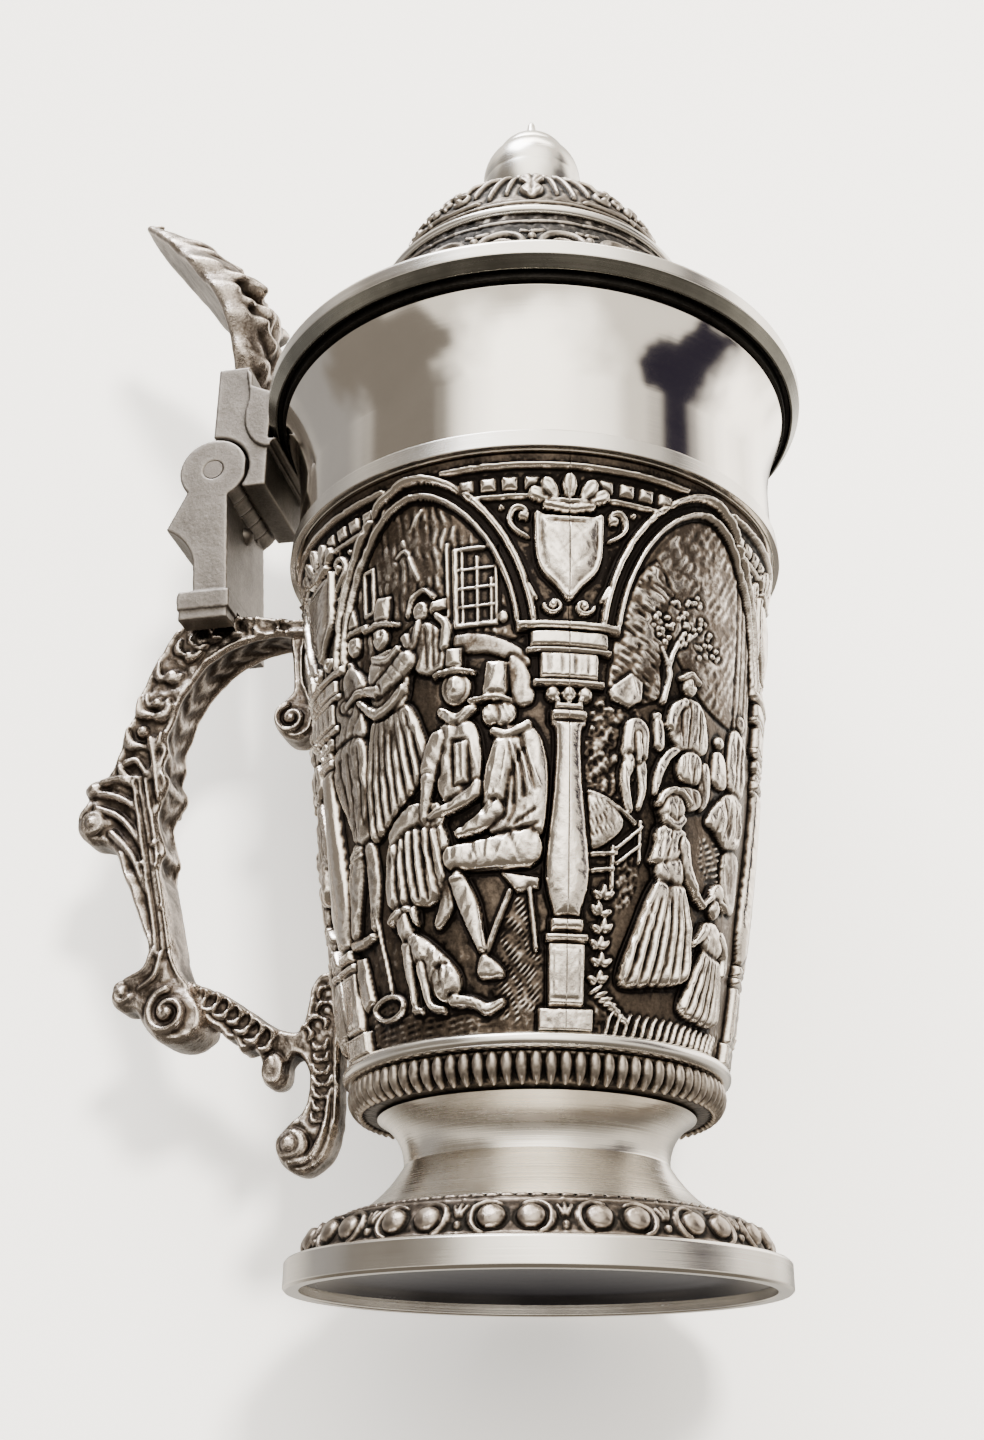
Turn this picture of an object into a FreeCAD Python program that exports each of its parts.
import FreeCAD, Part
import os

import Sketcher

# Lidded beer stein, cast and turned in pewter, in millimetres.
#
# Frame: +Z is the axis of the cup, and the origin is the centre of the foot's flat underside.
# The handle and the lid's hinge are on the -X side, in the XZ plane. The hinge axis is along Y.
#
# Outlines of turned pieces are (radius, height) pairs. Outlines of the handle's and the hinge's
# pieces are (out, up) pairs, where out is the distance from the cup's axis towards -X.

PARTS_FOLDER = "parts"

# alias, value, what it is
DIMENSIONS = [
    ("foot_radius", 39.4, "outer radius of the foot's flange"),
    ("foot_flange_top", 4.5, "height of the flange's upper face"),
    ("foot_recess_radius", 36.9, "radius of the recess under the foot"),
    ("foot_plate_under", 3.2, "underside of the flange's plate"),
    ("foot_plate_inner", 33.8, "inner radius of the flange's plate"),
    ("foot_disc_rise", 5.0, "height of the closing disc's underside at its centre"),
    ("foot_disc_wall", 0.8, "thickness of the closing disc"),
    ("ornament_radius", 37.0, "outer radius of the foot's ornament ring at its base"),
    ("ornament_top_radius", 28.9, "radius where the ornament ring meets the neck"),
    ("ornament_top", 11.1, "height of the ornament ring's upper edge"),
    ("waist_radius", 21.3, "narrowest radius of the foot's neck"),
    ("waist_height", 19.0, "height of the neck's narrowest place"),
    ("neck_top_radius", 25.8, "radius of the neck under the gadroon band"),
    ("neck_top", 26.5, "height of the neck's upper edge"),
    ("neck_wall", 1.6, "wall of the neck"),
    ("spigot_radius", 24.0, "radius of the spigot that carries both rings"),
    ("spigot_top", 33.9, "height of the spigot's upper face, soldered to the cup"),
    ("gadroon_radius", 30.5, "outer radius of the gadroon band"),
    ("gadroon_top", 31.5, "height of the gadroon band's upper face"),
    ("bead_radius", 31.6, "outer radius of the bead ring under the relief"),
    ("sleeve_bottom", 34.1, "height of the relief sleeve's lower edge"),
    ("sleeve_low_radius", 30.8, "relief sleeve's radius at its lower edge"),
    ("sleeve_mid_height", 78.0, "height of the middle of the relief"),
    ("sleeve_mid_radius", 38.0, "relief sleeve's radius at the middle of the relief"),
    ("sleeve_high", 115.0, "height where the sleeve begins to flare"),
    ("sleeve_high_radius", 41.9, "relief sleeve's radius where it begins to flare"),
    ("shoulder_height", 126.3, "height of the sleeve's upper edge"),
    ("shoulder_radius", 44.7, "relief sleeve's radius at its upper edge"),
    ("band_radius", 45.6, "outer radius of the polished shoulder band"),
    ("band_top", 129.8, "height of the shoulder band's upper face"),
    ("sleeve_wall", 2.2, "wall of the relief sleeve at its mean surface"),
    ("cup_wall", 1.2, "wall of the cup inside the sleeve"),
    ("cup_floor", 2.0, "thickness of the cup's floor"),
    ("cup_band_radius", 44.3, "outer radius of the cup's bare upper part"),
    ("cup_flare_height", 141.0, "height where the cup begins to flare to its lip"),
    ("lip_radius", 48.0, "outer radius of the lip"),
    ("lip_height", 157.8, "height of the lip"),
    ("lip_wall", 1.4, "thickness of the lip"),
    ("solder_gap", 0.1, "clearance between turned pieces that are soldered together"),
    ("lid_rest_gap", 0.3, "clearance between the lip and the lid's seat"),
    ("lid_radius", 51.6, "outer radius of the lid's flange"),
    ("lid_flange_top", 165.0, "height of the flange where the lid's frieze begins"),
    ("lid_plug_radius", 45.0, "outer radius of the rim that enters the cup"),
    ("lid_plug_depth", 1.7, "depth of that rim below the seat"),
    ("frieze_low_radius", 46.2, "radius of the lid's frieze at its base"),
    ("frieze_top", 188.2, "height of the frieze's upper edge"),
    ("frieze_top_radius", 31.0, "radius of the frieze at its upper edge"),
    ("lid_wall", 1.8, "wall of the lid's frieze and dome"),
    ("lid_bead_radius", 31.2, "outer radius of the lid's bead ring"),
    ("dome_bottom", 190.5, "height of the dome's lower edge"),
    ("dome_radius", 29.4, "radius of the dome at its lower edge"),
    ("dome_top", 213.4, "height of the flat on top of the dome"),
    ("dome_top_radius", 11.4, "radius of the flat on top of the dome"),
    ("finial_radius", 10.2, "widest radius of the finial"),
    ("finial_top", 241.0, "height of the finial's tip"),
    ("screw_radius", 2.0, "radius of the screw that holds the finial"),
    ("screw_head_radius", 4.2, "radius of that screw's head"),
    ("screw_hole_radius", 2.1, "radius of the holes for that screw"),
    ("hinge_out", 61.5, "distance of the hinge axis from the cup's axis"),
    ("hinge_height", 152.5, "height of the hinge axis"),
    ("hinge_width", 22.0, "width of the hinge across its five rings"),
    ("ring_radius", 6.8, "radius of the hinge's rings"),
    ("ring_clear_radius", 7.3, "radius of the hollows that the rings turn in"),
    ("centre_ring_width", 4.2, "width of the post's centre ring"),
    ("centre_slot_width", 4.7, "width of the slot for the centre ring"),
    ("lid_rings_width", 13.1, "width over the lid's two rings"),
    ("side_slots_width", 13.6, "width over the post's two slots"),
    ("pin_radius", 1.95, "radius of the hinge pin"),
    ("pin_hole_radius", 2.0, "radius of the holes for the hinge pin"),
    ("pin_length", 19.6, "length of the hinge pin"),
    ("plug_length", 1.0, "length of the solder plug over each end of the pin"),
    ("handle_width", 12.0, "width of the handle's bow"),
    ("bracket_width", 9.0, "width of the handle's lower bracket"),
    ("scroll_width", 7.5, "width of the handle's upper scroll"),
    ("thumb_span", 190.0, "length of the prism that gives the thumblift its outline"),
    ("thumb_width", 25.2, "width of the slab that the thumblift is cut from"),
]

DOC = FreeCAD.newDocument("beer_stein")


class Size:
    """A length made from cells of the sheet: its value, and the expression that binds it."""

    def __init__(self, value, text):
        self.value = value
        self.text = text

    def __add__(self, other):
        other = as_size(other)
        return Size(self.value + other.value, f"({self.text} + {other.text})")

    def __sub__(self, other):
        other = as_size(other)
        return Size(self.value - other.value, f"({self.text} - {other.text})")

    def __mul__(self, factor):
        return Size(self.value * factor, f"({self.text} * {factor})")


def as_size(length):
    if isinstance(length, Size):
        return length
    return Size(float(length), str(float(length)))


def make_sheet():
    """Put each driving dimension in a cell with its alias, and return the sizes by alias."""
    sheet = DOC.addObject("Spreadsheet::Sheet", "Dimensions")
    sizes = {}
    for row, (alias, value, note) in enumerate(DIMENSIONS, start=1):
        sheet.set(f"A{row}", alias)
        sheet.set(f"B{row}", str(value))
        sheet.set(f"C{row}", note)
        sheet.setAlias(f"B{row}", alias)
        sizes[alias] = Size(value, f"Dimensions.{alias}")
    DOC.recompute()
    return sizes


D = make_sheet()


# ---- sketches ----------------------------------------------------------------------------------


def new_sketch(body, name, role):
    """An empty sketch on one of the body's own origin planes."""
    plane = next(item for item in body.Origin.OriginFeatures if item.Role == role)
    sketch = body.newObject("Sketcher::SketchObject", name)
    sketch.AttachmentSupport = [(plane, "")]
    sketch.MapMode = "FlatFace"
    return sketch


def bind(sketch, kind, *arguments):
    """Add a distance constraint whose last argument is a size, and bind it to its expression."""
    size = arguments[-1]
    index = sketch.addConstraint(Sketcher.Constraint(kind, *arguments[:-1], size.value))
    sketch.setExpression(f"Constraints[{index}]", size.text)


def place_point(sketch, geometry, position, across, up):
    """Fix a point at its distances from the sketch's origin."""
    for kind, axis, size in (("DistanceX", -2, across), ("DistanceY", -1, up)):
        if size.value == 0:
            sketch.addConstraint(Sketcher.Constraint("PointOnObject", geometry, position, axis))
        elif size.value > 0:
            bind(sketch, kind, -1, 1, geometry, position, size)
        else:
            bind(sketch, kind, geometry, position, -1, 1, size * -1)


def add_arc(sketch, start, via, end):
    """Add an arc through three points, which the sketch keeps counterclockwise. Returns it, and
    the number of the point that it ends at: 2 if it was drawn counterclockwise, and 1 if not."""
    counterclockwise = (via - start).cross(end - via).z > 0
    if counterclockwise:
        return sketch.addGeometry(Part.Arc(start, via, end), False), 2
    return sketch.addGeometry(Part.Arc(end, via, start), False), 1


def draw_outline(sketch, corners):
    """Draw a closed outline. A corner is (across, up), or (across, up, via_across, via_up) where
    the stretch that ends there is an arc through the via point."""
    corners = [[as_size(length) for length in corner] for corner in corners]
    points = [FreeCAD.Vector(corner[0].value, corner[1].value, 0) for corner in corners]
    joints = []
    for index, corner in enumerate(corners):
        start, end = points[index - 1], points[index]
        if len(corner) == 4:
            via = FreeCAD.Vector(corner[2].value, corner[3].value, 0)
            piece, head = add_arc(sketch, start, via, end)
            marker = sketch.addGeometry(Part.Point(via), True)
            place_point(sketch, marker, 1, corner[2], corner[3])
            sketch.addConstraint(Sketcher.Constraint("PointOnObject", marker, 1, piece))
        else:
            piece, head = sketch.addGeometry(Part.LineSegment(start, end), False), 2
        place_point(sketch, piece, head, corner[0], corner[1])
        joints.append((piece, 3 - head, head))
    for index, (piece, tail, _) in enumerate(joints):
        before, _, head_before = joints[index - 1]
        sketch.addConstraint(Sketcher.Constraint("Coincident", piece, tail, before, head_before))


def draw_smooth(sketch, points):
    """Draw one closed smooth curve through the points."""
    curve = Part.BSplineCurve()
    curve.interpolate([FreeCAD.Vector(x, y, 0) for x, y in points], PeriodicFlag=True)
    sketch.addGeometry(curve, False)


def draw_circle(sketch, across, up, radius):
    centre = FreeCAD.Vector(across.value, up.value, 0)
    circle = Part.Circle(centre, FreeCAD.Vector(0, 0, 1), radius.value)
    piece = sketch.addGeometry(circle, False)
    place_point(sketch, piece, 3, across, up)
    bind(sketch, "Radius", piece, radius)


def outwards(corners):
    """Turn (out, up) corners into sketch corners: out runs towards -X."""
    signs = (-1, 1, -1, 1)
    return [[as_size(length) * sign for length, sign in zip(corner, signs)] for corner in corners]


# ---- features ----------------------------------------------------------------------------------


def new_body(label):
    body = DOC.addObject("PartDesign::Body", label)
    body.Label = label
    return body


def turned(label, corners):
    """A body of revolution about the cup's axis."""
    body = new_body(label)
    sketch = new_sketch(body, label + "_section", "XZ_Plane")
    draw_outline(sketch, corners)
    feature = body.newObject("PartDesign::Revolution", label + "_turning")
    feature.Profile = sketch
    feature.ReferenceAxis = (sketch, ["V_Axis"])
    feature.Angle = 360
    DOC.recompute()
    return body


def add_pad(body, sketch, width):
    """Pad a sketch to both sides of its plane."""
    feature = body.newObject("PartDesign::Pad", sketch.Name + "_pad")
    feature.Profile = sketch
    feature.SideType = "Symmetric"
    feature.setExpression("Length", width.text)
    DOC.recompute()
    return feature


def add_pocket(body, sketch, width):
    """Pocket a sketch to both sides of its plane, and check that it took material away."""
    volume_before = body.Shape.Volume
    feature = body.newObject("PartDesign::Pocket", sketch.Name + "_pocket")
    feature.Profile = sketch
    feature.SideType = "Symmetric"
    feature.setExpression("Length", width.text)
    DOC.recompute()
    if body.Shape.Volume >= volume_before:
        raise ValueError(f"{feature.Name} cut nothing")
    return feature


def pad_outline(body, name, corners, width):
    sketch = new_sketch(body, name, "XZ_Plane")
    draw_outline(sketch, outwards(corners))
    return add_pad(body, sketch, width)


def pad_disc(body, name, radius, width):
    """A disc on the hinge axis."""
    sketch = new_sketch(body, name, "XZ_Plane")
    draw_circle(sketch, D["hinge_out"] * -1, D["hinge_height"], radius)
    return add_pad(body, sketch, width)


def bore_disc(body, name, radius, width):
    """A round hollow on the hinge axis."""
    sketch = new_sketch(body, name, "XZ_Plane")
    draw_circle(sketch, D["hinge_out"] * -1, D["hinge_height"], radius)
    return add_pocket(body, sketch, width)


def cast_bar(label, points, width):
    """A bar with a smooth outline in the handle's plane."""
    body = new_body(label)
    sketch = new_sketch(body, label + "_outline", "XZ_Plane")
    draw_smooth(sketch, [(-out, up) for out, up in points])
    add_pad(body, sketch, width)
    return body


def boolean(kind, label, base, tool):
    result = DOC.addObject(kind, label)
    result.Label = label
    if kind == "Part::Cut":
        result.Base, result.Tool = base, tool
    else:
        result.Shapes = [base, tool]
    DOC.recompute()
    return result


# ---- foot --------------------------------------------------------------------------------------


def foot_flange():
    edge = 0.4
    outer, top, recess = D["foot_radius"], D["foot_flange_top"], D["foot_recess_radius"]
    return turned("foot_flange", [
        (recess, 0),
        (outer - edge, 0),
        (outer, edge),
        (outer, top - edge),
        (outer - edge, top),
        (D["foot_plate_inner"], top),
        (D["foot_plate_inner"], D["foot_plate_under"]),
        (recess, D["foot_plate_under"]),
    ])


def foot_closing_disc():
    """The dished disc that closes the hollow foot from below."""
    radius = D["foot_recess_radius"] - D["solder_gap"]
    rise, wall = D["foot_disc_rise"], D["foot_disc_wall"]
    flat = radius * 0.2
    rim_drop, half_drop = 3.2, 1.1
    return turned("foot_closing_disc", [
        (0, rise),
        (flat, rise),
        (radius, rise - rim_drop, radius * 0.6, rise - half_drop),
        (radius, rise - rim_drop + wall),
        (flat, rise + wall, radius * 0.6, rise - half_drop + wall),
        (0, rise + wall),
    ])


def foot_ornament_ring():
    base = D["foot_flange_top"] + D["solder_gap"]
    top, top_radius, outer = D["ornament_top"], D["ornament_top_radius"], D["ornament_radius"]
    return turned("foot_ornament_ring", [
        (outer, base),
        (top_radius, top, outer - 2.6, base + 4.6),
        (top_radius - 1.9, top),
        (top_radius - 1.9, top - 1.5),
        (outer - 5.5, base + 1.9),
        (outer - 5.5, base),
    ])


def foot_neck():
    """The waisted neck, hollow, with a spigot that carries the bead and gadroon rings."""
    wall, waist, waist_height = D["neck_wall"], D["waist_radius"], D["waist_height"]
    bottom = D["ornament_top"] + D["solder_gap"]
    foot, top, top_radius = D["ornament_top_radius"], D["neck_top"], D["neck_top_radius"]
    spigot, spigot_top = D["spigot_radius"], D["spigot_top"]
    return turned("foot_neck", [
        (foot, bottom),
        (waist, waist_height, foot - 4.3, bottom + 3.4),
        (top_radius, top, waist + 1.2, waist_height + 4.5),
        (spigot, top),
        (spigot, spigot_top),
        (0, spigot_top),
        (0, spigot_top - wall),
        (spigot - wall, spigot_top - wall),
        (spigot - wall, top + 0.5),
        (waist - wall, waist_height, waist - wall + 1.1, waist_height + 4.2),
        (foot - 1.9, bottom, foot - 6.0, bottom + 2.4),
    ])


def gadroon_band():
    bottom, top = D["neck_top"] + D["solder_gap"], D["gadroon_top"]
    bore, outer = D["spigot_radius"] + D["solder_gap"], D["gadroon_radius"]
    return turned("gadroon_band", [
        (bore, bottom),
        (outer - 3.8, bottom),
        (outer - 0.9, top, outer - 0.3, bottom + 2.8),
        (bore, top),
    ])


def lower_bead_ring():
    bottom, top = D["gadroon_top"] + D["solder_gap"], D["sleeve_bottom"] - D["solder_gap"]
    bore, outer = D["spigot_radius"] + D["solder_gap"], D["bead_radius"]
    return turned("lower_bead_ring", [
        (bore, bottom),
        (outer - 1.2, bottom),
        (outer - 1.2, top, outer, bottom * 0.5 + top * 0.5),
        (bore, top),
    ])


# ---- cup ---------------------------------------------------------------------------------------


def sleeve_wall_line(inset):
    """The relief sleeve's mean surface from its lower edge up to the flare, moved in by inset."""
    return [
        (D["sleeve_low_radius"] - inset, D["sleeve_bottom"]),
        (D["sleeve_high_radius"] - inset, D["sleeve_high"],
         D["sleeve_mid_radius"] - inset, D["sleeve_mid_height"]),
    ]


def cup():
    """The vessel itself: a drawn liner with a bare polished upper part and a rounded lip."""
    gap, wall = D["solder_gap"], D["cup_wall"]
    inset = D["sleeve_wall"] + gap
    low, high = sleeve_wall_line(inset)
    base = D["sleeve_bottom"]
    floor_top = base + D["cup_floor"]
    band, flare, shoulder = D["cup_band_radius"], D["cup_flare_height"], D["shoulder_height"]
    inner_band = band - 1.3
    lip, lip_top, lip_wall = D["lip_radius"], D["lip_height"], D["lip_wall"]
    lip_round = lip_wall * 0.5
    return turned("cup", [
        (0, base),
        low,
        high,
        (D["shoulder_radius"] - D["sleeve_wall"] * 1.4, shoulder + gap),
        (band, shoulder + gap),
        (band, flare),
        (lip, lip_top - lip_round, band + 1.1, flare + 8.5),
        (lip - lip_wall, lip_top - lip_round, lip - lip_round, lip_top),
        (inner_band, flare, inner_band + 1.1, flare + 8.2),
        (inner_band, shoulder + 2.6),
        (D["sleeve_high_radius"] - inset - wall + 1.7, shoulder - 2.0),
        (D["sleeve_high_radius"] - inset - wall, D["sleeve_high"]),
        (D["sleeve_low_radius"] - inset - wall + 0.9, floor_top + 3.4,
         D["sleeve_mid_radius"] - inset - wall, D["sleeve_mid_height"]),
        (D["sleeve_low_radius"] - inset - 4.4, floor_top,
         D["sleeve_low_radius"] - inset - 1.6, floor_top + 1.0),
        (0, floor_top),
    ])


def relief_sleeve():
    """The cast sleeve with the relief, at the relief's mean surface."""
    wall, top, rim = D["sleeve_wall"], D["shoulder_height"] - D["solder_gap"], D["shoulder_radius"]
    low, high = sleeve_wall_line(0)
    inner_low, inner_high = sleeve_wall_line(wall)
    return turned("relief_sleeve", [
        inner_low + inner_high[2:],
        low,
        high,
        (rim, top, D["sleeve_high_radius"] + 1.0, D["sleeve_high"] + 5.0),
        (rim - wall * 1.4, top),
        inner_high[:2],
    ])


def shoulder_band():
    bottom, top = D["shoulder_height"] + D["solder_gap"] * 2, D["band_top"]
    bore, outer = D["cup_band_radius"] + D["solder_gap"], D["band_radius"]
    return turned("shoulder_band", [
        (bore, bottom),
        (outer - 0.4, bottom),
        (outer - 0.4, top, outer, bottom * 0.5 + top * 0.5),
        (bore, top),
    ])


def wall_envelope():
    """What the handle's ends are trimmed to: the space that the cup's outside takes."""
    gap = D["solder_gap"]
    ring = D["bead_radius"] + gap * 2
    low, high = sleeve_wall_line(gap * -1)
    return turned("wall_envelope", [
        (0, D["neck_top"]),
        (ring, D["neck_top"]),
        (ring, D["sleeve_bottom"]),
        low,
        high,
        (D["shoulder_radius"] + gap, D["shoulder_height"],
         D["sleeve_high_radius"] + gap + 1.0, D["sleeve_high"] + 5.0),
        (D["band_radius"] + gap, D["band_top"]),
        (0, D["band_top"]),
    ])


# ---- lid ---------------------------------------------------------------------------------------


def lid_flange():
    """The lid's rim, which rests on the lip and locates in the cup."""
    seat = D["lip_height"] + D["lid_rest_gap"]
    top, outer, lip = D["lid_flange_top"], D["lid_radius"], D["lip_radius"]
    plug, frieze = D["lid_plug_radius"], D["frieze_low_radius"]
    bore = plug - 1.4
    return turned("lid_flange", [
        (bore, seat - D["lid_plug_depth"]),
        (plug, seat - D["lid_plug_depth"]),
        (plug, seat),
        (lip + 0.6, seat),
        (lip + 0.9, seat + 1.9),
        (outer - 1.4, seat + 1.9),
        (outer - 1.2, seat + 0.8),
        (outer - 0.4, seat + 0.8),
        (outer, seat + 1.5),
        (outer, top - 2.0),
        (outer - 1.2, top - 0.9, outer - 0.3, top - 1.2),
        (frieze + 0.2, top),
        (bore, top),
    ])


def frieze_line(inset):
    """The concave side of the lid's frieze from its base to its upper edge, moved in by inset."""
    base = D["lid_flange_top"] + D["solder_gap"]
    low, high = D["frieze_low_radius"], D["frieze_top_radius"]
    return [
        (low - inset * 1.3, base),
        (high - inset, D["frieze_top"], high - inset + 6.2, base + 10.4),
    ]


def lid_frieze():
    low, high = frieze_line(as_size(0))
    inner_low, inner_high = frieze_line(D["lid_wall"])
    return turned("lid_frieze", [inner_low + inner_high[2:], low, high, inner_high[:2]])


def lid_bead_ring():
    bottom, top = D["frieze_top"] + D["solder_gap"], D["dome_bottom"] - D["solder_gap"]
    outer = D["lid_bead_radius"]
    bore = D["dome_radius"] - D["lid_wall"]
    return turned("lid_bead_ring", [
        (bore, bottom),
        (outer - 1.0, bottom),
        (outer - 1.0, top, outer, bottom * 0.5 + top * 0.5),
        (bore, top),
    ])


def lid_dome():
    wall, bottom, top = D["lid_wall"], D["dome_bottom"], D["dome_top"]
    radius, top_radius, hole = D["dome_radius"], D["dome_top_radius"], D["screw_hole_radius"]
    break_radius, break_height = radius - 4.5, bottom + 12.1
    return turned("lid_dome", [
        (radius, bottom),
        (break_radius, break_height, radius - 1.7, bottom + 5.4),
        (top_radius, top, break_radius - 6.2, break_height + 6.1),
        (hole, top),
        (hole, top - wall),
        (top_radius - 1.6, top - wall),
        (break_radius - wall, break_height - 0.9, break_radius - 7.2, break_height + 4.7),
        (radius - wall, bottom, radius - 1.7 - wall, bottom + 5.1),
    ])


def finial():
    """The bell-shaped knob on top of the dome, bored from below for its screw."""
    base, tip, widest = D["dome_top"] + D["solder_gap"], D["finial_top"], D["finial_radius"]
    hole = D["screw_hole_radius"]
    shoulder = tip - 21.7
    bore_top = base + 17.3
    return turned("finial", [
        (hole, base),
        (widest - 2.6, base),
        (widest - 2.2, base + 1.2),
        (widest, shoulder + 3.2, widest - 0.5, shoulder - 1.2),
        (widest - 2.6, shoulder + 11.0, widest - 0.5, shoulder + 7.6),
        (widest - 2.9, shoulder + 11.4),
        (1.7, shoulder + 16.2, widest - 5.2, shoulder + 14.7),
        (0.5, tip),
        (0, tip),
        (0, bore_top),
        (hole, bore_top),
    ])


def finial_screw():
    """The screw that holds the finial, put in from inside the lid."""
    under = D["dome_top"] - D["lid_wall"] - D["solder_gap"]
    shank, head = D["screw_radius"], D["screw_head_radius"]
    head_height, shank_top = 2.2, D["dome_top"] + 16.3
    return turned("finial_screw", [
        (0, under - head_height),
        (head - 2.0, under - head_height),
        (head, under, head - 0.6, under - head_height + 0.8),
        (shank, under),
        (shank, shank_top),
        (0, shank_top),
    ])


def lid_envelope():
    """What the hinge block is trimmed to: the space that the lid's outside takes."""
    gap = D["solder_gap"]
    seat, top, outer = D["lip_height"] + D["lid_rest_gap"], D["lid_flange_top"], D["lid_radius"]
    low, high = frieze_line(gap * -1)
    return turned("lid_envelope", [
        (0, seat),
        (outer + gap, seat),
        (outer + gap, top - 2.0),
        (outer - 1.2 + gap, top - 0.8, outer - 0.3 + gap, top - 1.2 + gap),
        (D["frieze_low_radius"] + 0.2, top + gap),
        low,
        high,
        (0, D["frieze_top"]),
    ])


# ---- hinge -------------------------------------------------------------------------------------


def lid_hinge_block():
    """The lid's half of the hinge: a block with two rings, soldered to the flange."""
    axis_out, axis_up, width = D["hinge_out"], D["hinge_height"], D["hinge_width"]
    body = new_body("hinge_block_blank")
    pad_outline(body, "block_side", [
        (axis_out + 0.5, axis_up + 23.7),
        (axis_out + 0.5, axis_up + 2.5),
        (axis_out - 6.5, axis_up - 4.7),
        (axis_out - 10.9, axis_up - 4.7),
        (axis_out - 10.9, axis_up + 5.0),
        (axis_out - 15.5, axis_up + 8.0),
        (axis_out - 14.1, axis_up + 12.8),
        (axis_out - 11.9, axis_up + 15.5),
        (axis_out - 6.3, axis_up + 18.3),
        (axis_out - 5.9, axis_up + 23.7),
    ], width)
    bore_disc(body, "block_hollow", D["ring_clear_radius"], width)
    pad_outline(body, "block_web", [
        (axis_out + 0.2, axis_up),
        (axis_out + 0.2, axis_up + 7.8),
        (axis_out - 5.0, axis_up + 8.5),
        (axis_out - 8.0, axis_up),
        (axis_out - 6.5, axis_up - 4.7),
    ], D["lid_rings_width"])
    pad_disc(body, "block_rings", D["ring_radius"], D["lid_rings_width"])
    bore_disc(body, "block_centre_slot", D["ring_clear_radius"], D["centre_slot_width"])
    bore_disc(body, "block_pin_hole", D["pin_hole_radius"], width)
    return boolean("Part::Cut", "lid_hinge_block", body, lid_envelope())


def hinge_post(bow):
    """The handle's half of the hinge: a post with three rings and a spur, standing on the bow."""
    axis_out, axis_up, width = D["hinge_out"], D["hinge_height"], D["hinge_width"]
    body = new_body("hinge_post_blank")
    pad_outline(body, "post_side", [
        (axis_out - 5.3, axis_up - 33.0),
        (axis_out - 3.3, axis_up - 5.4),
        (axis_out - 3.3, axis_up),
        (axis_out + 3.0, axis_up),
        (axis_out + 5.4, axis_up - 5.9),
        (axis_out + 8.5, axis_up - 12.9),
        (axis_out + 2.4, axis_up - 20.5, axis_out + 4.2, axis_up - 16.4),
        (axis_out + 1.9, axis_up - 26.9),
        (axis_out + 4.3, axis_up - 27.5),
        (axis_out + 4.3, axis_up - 33.0),
    ], width)
    pad_disc(body, "post_rings", D["ring_radius"], width)
    bore_disc(body, "post_side_slots", D["ring_clear_radius"], D["side_slots_width"])
    pad_disc(body, "post_centre_ring", D["ring_radius"], D["centre_ring_width"])
    pad_outline(body, "post_centre_web", [
        (axis_out - 3.2, axis_up - 9.0),
        (axis_out - 3.2, axis_up - 5.0),
        (axis_out, axis_up),
        (axis_out + 4.8, axis_up - 4.8),
        (axis_out + 5.2, axis_up - 9.0),
    ], D["centre_ring_width"])
    bore_disc(body, "post_pin_hole", D["pin_hole_radius"], width)
    return boolean("Part::Cut", "hinge_post", body, bow)


def hinge_pin():
    """The steel pin through the five rings."""
    body = new_body("hinge_pin")
    pad_disc(body, "pin_section", D["pin_radius"], D["pin_length"])
    return body


def hinge_pin_plugs():
    """The two solder plugs that cover the ends of the pin."""
    body = new_body("pin_plugs_full")
    pad_disc(body, "plugs_section", D["pin_radius"], D["hinge_width"])
    middle = new_body("pin_plugs_middle")
    pad_disc(middle, "plugs_middle_section", D["ring_radius"], D["hinge_width"] - D["plug_length"] * 2)
    return boolean("Part::Cut", "hinge_pin_plugs", body, middle)


def stop_stud(post):
    """The round-headed stud on the post's inner face, under the rings."""
    body = new_body("stop_stud_blank")
    sketch = new_sketch(body, "stud_section", "XZ_Plane")
    out, up = D["hinge_out"] - 3.2, D["hinge_height"] - 9.2
    head_rise, head_radius, head_flat = 1.9, 1.9, 0.6
    draw_outline(sketch, outwards([
        (out, up),
        (out, up + head_radius),
        (out - head_rise, up + head_flat, out - head_rise * 0.75, up + head_radius * 0.7),
        (out - head_rise, up),
    ]))
    line_on_axis = "Edge1"
    feature = body.newObject("PartDesign::Revolution", "stud_turning")
    feature.Profile = sketch
    feature.ReferenceAxis = (sketch, [line_on_axis])
    feature.Angle = 360
    DOC.recompute()
    return boolean("Part::Cut", "stop_stud", body, post)


# Side view of the thumblift, from the block up its outer edge to the tip and down its inner edge.
THUMB_SIDE = [
    (60.8, 173.0), (61.0, 184.0), (64.0, 194.5), (69.6, 202.8), (77.0, 212.6), (84.4, 221.6),
    (86.0, 226.4), (82.4, 226.0), (76.6, 222.8), (69.2, 219.2), (62.2, 212.6), (56.0, 205.2),
    (51.8, 197.0), (50.6, 189.0), (52.2, 181.0), (55.8, 173.0),
]

# Half of its outline seen from the cup, from the root to the tip: (half width, height).
THUMB_HALF_FRONT = [
    (6.5, 175.0), (8.6, 183.0), (11.9, 190.5), (12.5, 199.0), (11.6, 207.0), (9.4, 215.0), (5.6, 222.5),
]
THUMB_ROOT, THUMB_TIP = 168.0, 228.5


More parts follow.
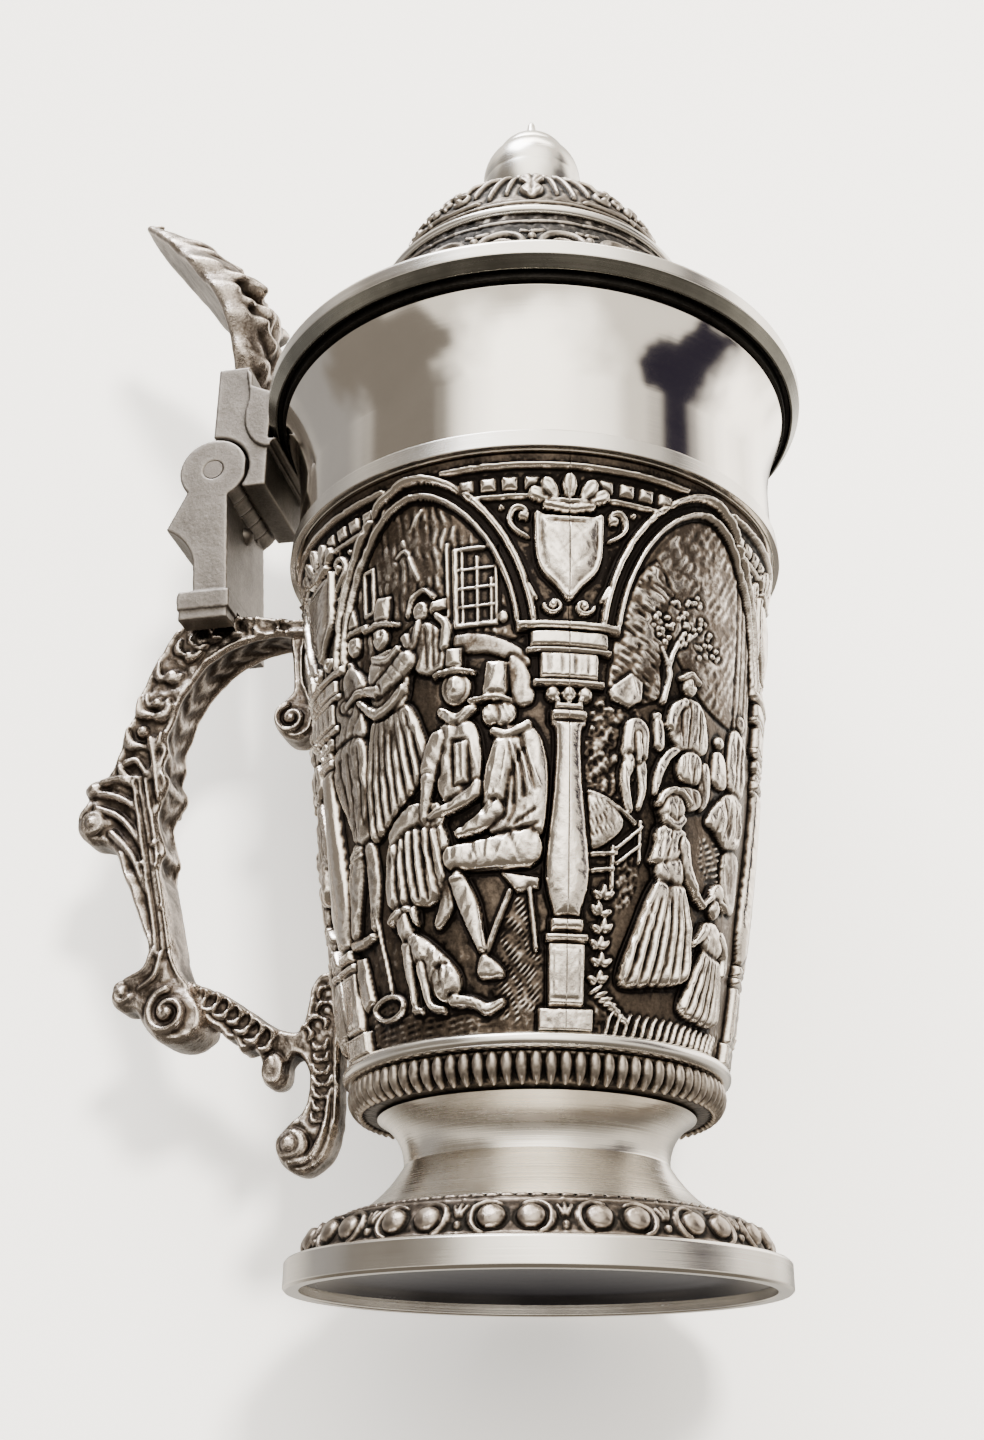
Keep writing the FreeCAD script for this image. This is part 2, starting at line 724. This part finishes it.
def thumblift(block):
    """The leaf-shaped lever that lifts the lid."""
    side = new_body("thumblift_side")
    sketch = new_sketch(side, "thumb_side_outline", "XZ_Plane")
    draw_smooth(sketch, [(-out, up) for out, up in THUMB_SIDE])
    add_pad(side, sketch, D["thumb_width"])
    front = new_body("thumblift_front")
    sketch = new_sketch(front, "thumb_front_outline", "YZ_Plane")
    right = list(THUMB_HALF_FRONT)
    left = [(-half, up) for half, up in reversed(right)]
    draw_smooth(sketch, [(0, THUMB_ROOT)] + right + [(0, THUMB_TIP)] + left)
    add_pad(front, sketch, D["thumb_span"])
    leaf = boolean("Part::MultiCommon", "thumblift_leaf", side, front)
    return boolean("Part::Cut", "thumblift", leaf, block)


# ---- handle ------------------------------------------------------------------------------------

# The bow: along its outer edge from the cup's wall, round both scrolls, and back inside.
BOW_OUTLINE = [
    (41.0, 121.0), (48.0, 122.0), (56.0, 123.0), (62.4, 123.0), (67.6, 121.2), (71.2, 116.2),
    (73.8, 109.6), (75.8, 102.9), (77.6, 96.4), (79.6, 91.8), (83.4, 89.2), (84.8, 85.6),
    (83.6, 81.2), (79.4, 78.6), (75.4, 75.0), (73.2, 69.8), (70.8, 63.8), (68.6, 58.6),
    (69.0, 54.6), (73.2, 52.6), (74.6, 49.4), (71.4, 45.6), (66.0, 42.0), (60.4, 41.2),
    (56.8, 44.0), (58.4, 48.4), (61.4, 52.8), (63.4, 58.4), (65.2, 66.0), (67.0, 73.6),
    (68.4, 81.0), (68.8, 87.0), (68.2, 92.0), (68.2, 96.0), (67.2, 101.4), (65.0, 107.4),
    (61.4, 112.8), (55.6, 116.6), (48.0, 118.2), (41.0, 117.8),
]

# The lower bracket: its upper edge to the leaf on the wall, down the tail, round the tail's
# scroll, and back along its lower edge.
BRACKET_OUTLINE = [
    (62.0, 52.4), (58.0, 51.2), (53.6, 49.4), (48.6, 46.2), (44.2, 43.4), (40.4, 42.6),
    (38.0, 44.4), (37.4, 48.2), (35.8, 50.6), (33.4, 50.6), (32.6, 46.0), (33.0, 40.0),
    (32.9, 36.0), (32.7, 31.0), (32.9, 26.0), (34.6, 21.8), (38.6, 19.4), (42.0, 21.6),
    (42.2, 25.2), (39.8, 27.0), (38.2, 30.0), (38.0, 33.8), (39.4, 37.2), (41.6, 37.8),
    (43.2, 35.8), (45.6, 36.4), (46.6, 38.8), (49.9, 40.9), (53.8, 43.8), (57.5, 46.8),
    (62.0, 48.6),
]

# The upper scroll: a strap from the bow down the wall, ending in a small curl.
SCROLL_OUTLINE = [
    (46.6, 119.6), (45.4, 112.5), (45.0, 107.4), (46.6, 104.8), (47.6, 101.6), (46.2, 98.6),
    (43.2, 97.6), (41.2, 100.0), (41.8, 104.6), (42.9, 109.0), (43.4, 114.0), (43.4, 119.6),
]


def handle_pieces():
    """The bow and its two smaller pieces, trimmed to the cup's wall and to each other."""
    wall = wall_envelope()
    blank = cast_bar("bow_blank", BOW_OUTLINE, D["handle_width"])
    bow = boolean("Part::Cut", "handle_bow", blank, wall)
    trimmed = [bow]
    for label, outline, width in (
        ("handle_lower_bracket", BRACKET_OUTLINE, D["bracket_width"]),
        ("handle_upper_scroll", SCROLL_OUTLINE, D["scroll_width"]),
    ):
        blank = cast_bar(label + "_blank", outline, width)
        off_wall = boolean("Part::Cut", label + "_off_wall", blank, wall)
        trimmed.append(boolean("Part::Cut", label, off_wall, bow))
    return trimmed


# ---- assembly ----------------------------------------------------------------------------------


def build():
    """Make every sub-part, and return them as a list."""
    nodes = [
        foot_flange(),
        foot_closing_disc(),
        foot_ornament_ring(),
        foot_neck(),
        gadroon_band(),
        lower_bead_ring(),
        cup(),
        relief_sleeve(),
        shoulder_band(),
        lid_flange(),
        lid_frieze(),
        lid_bead_ring(),
        lid_dome(),
        finial(),
        finial_screw(),
        hinge_pin(),
        hinge_pin_plugs(),
    ]
    handle = handle_pieces()
    post = hinge_post(handle[0])
    block = lid_hinge_block()
    nodes += handle
    nodes += [post, stop_stud(post), block, thumblift(block)]
    DOC.recompute()
    return nodes


def check(nodes):
    """Stop if any object failed to recompute, or any sub-part is not a valid solid."""
    for item in DOC.Objects:
        if "Invalid" in item.State or "Error" in item.State:
            raise ValueError(f"{item.Label} failed to recompute")
    for node in nodes:
        if node.Shape.isNull() or not node.Shape.isValid() or not node.Shape.Solids:
            raise ValueError(f"{node.Label} is not a valid solid")


def write(nodes):
    os.makedirs(PARTS_FOLDER, exist_ok=True)
    for node in nodes:
        node.Shape.exportStep(os.path.join(PARTS_FOLDER, node.Label + ".step"))
        print(f"{node.Label}: {len(node.Shape.Solids)} solid, {node.Shape.Volume / 1000:.2f} cm3")


NODES = build()
check(NODES)
write(NODES)
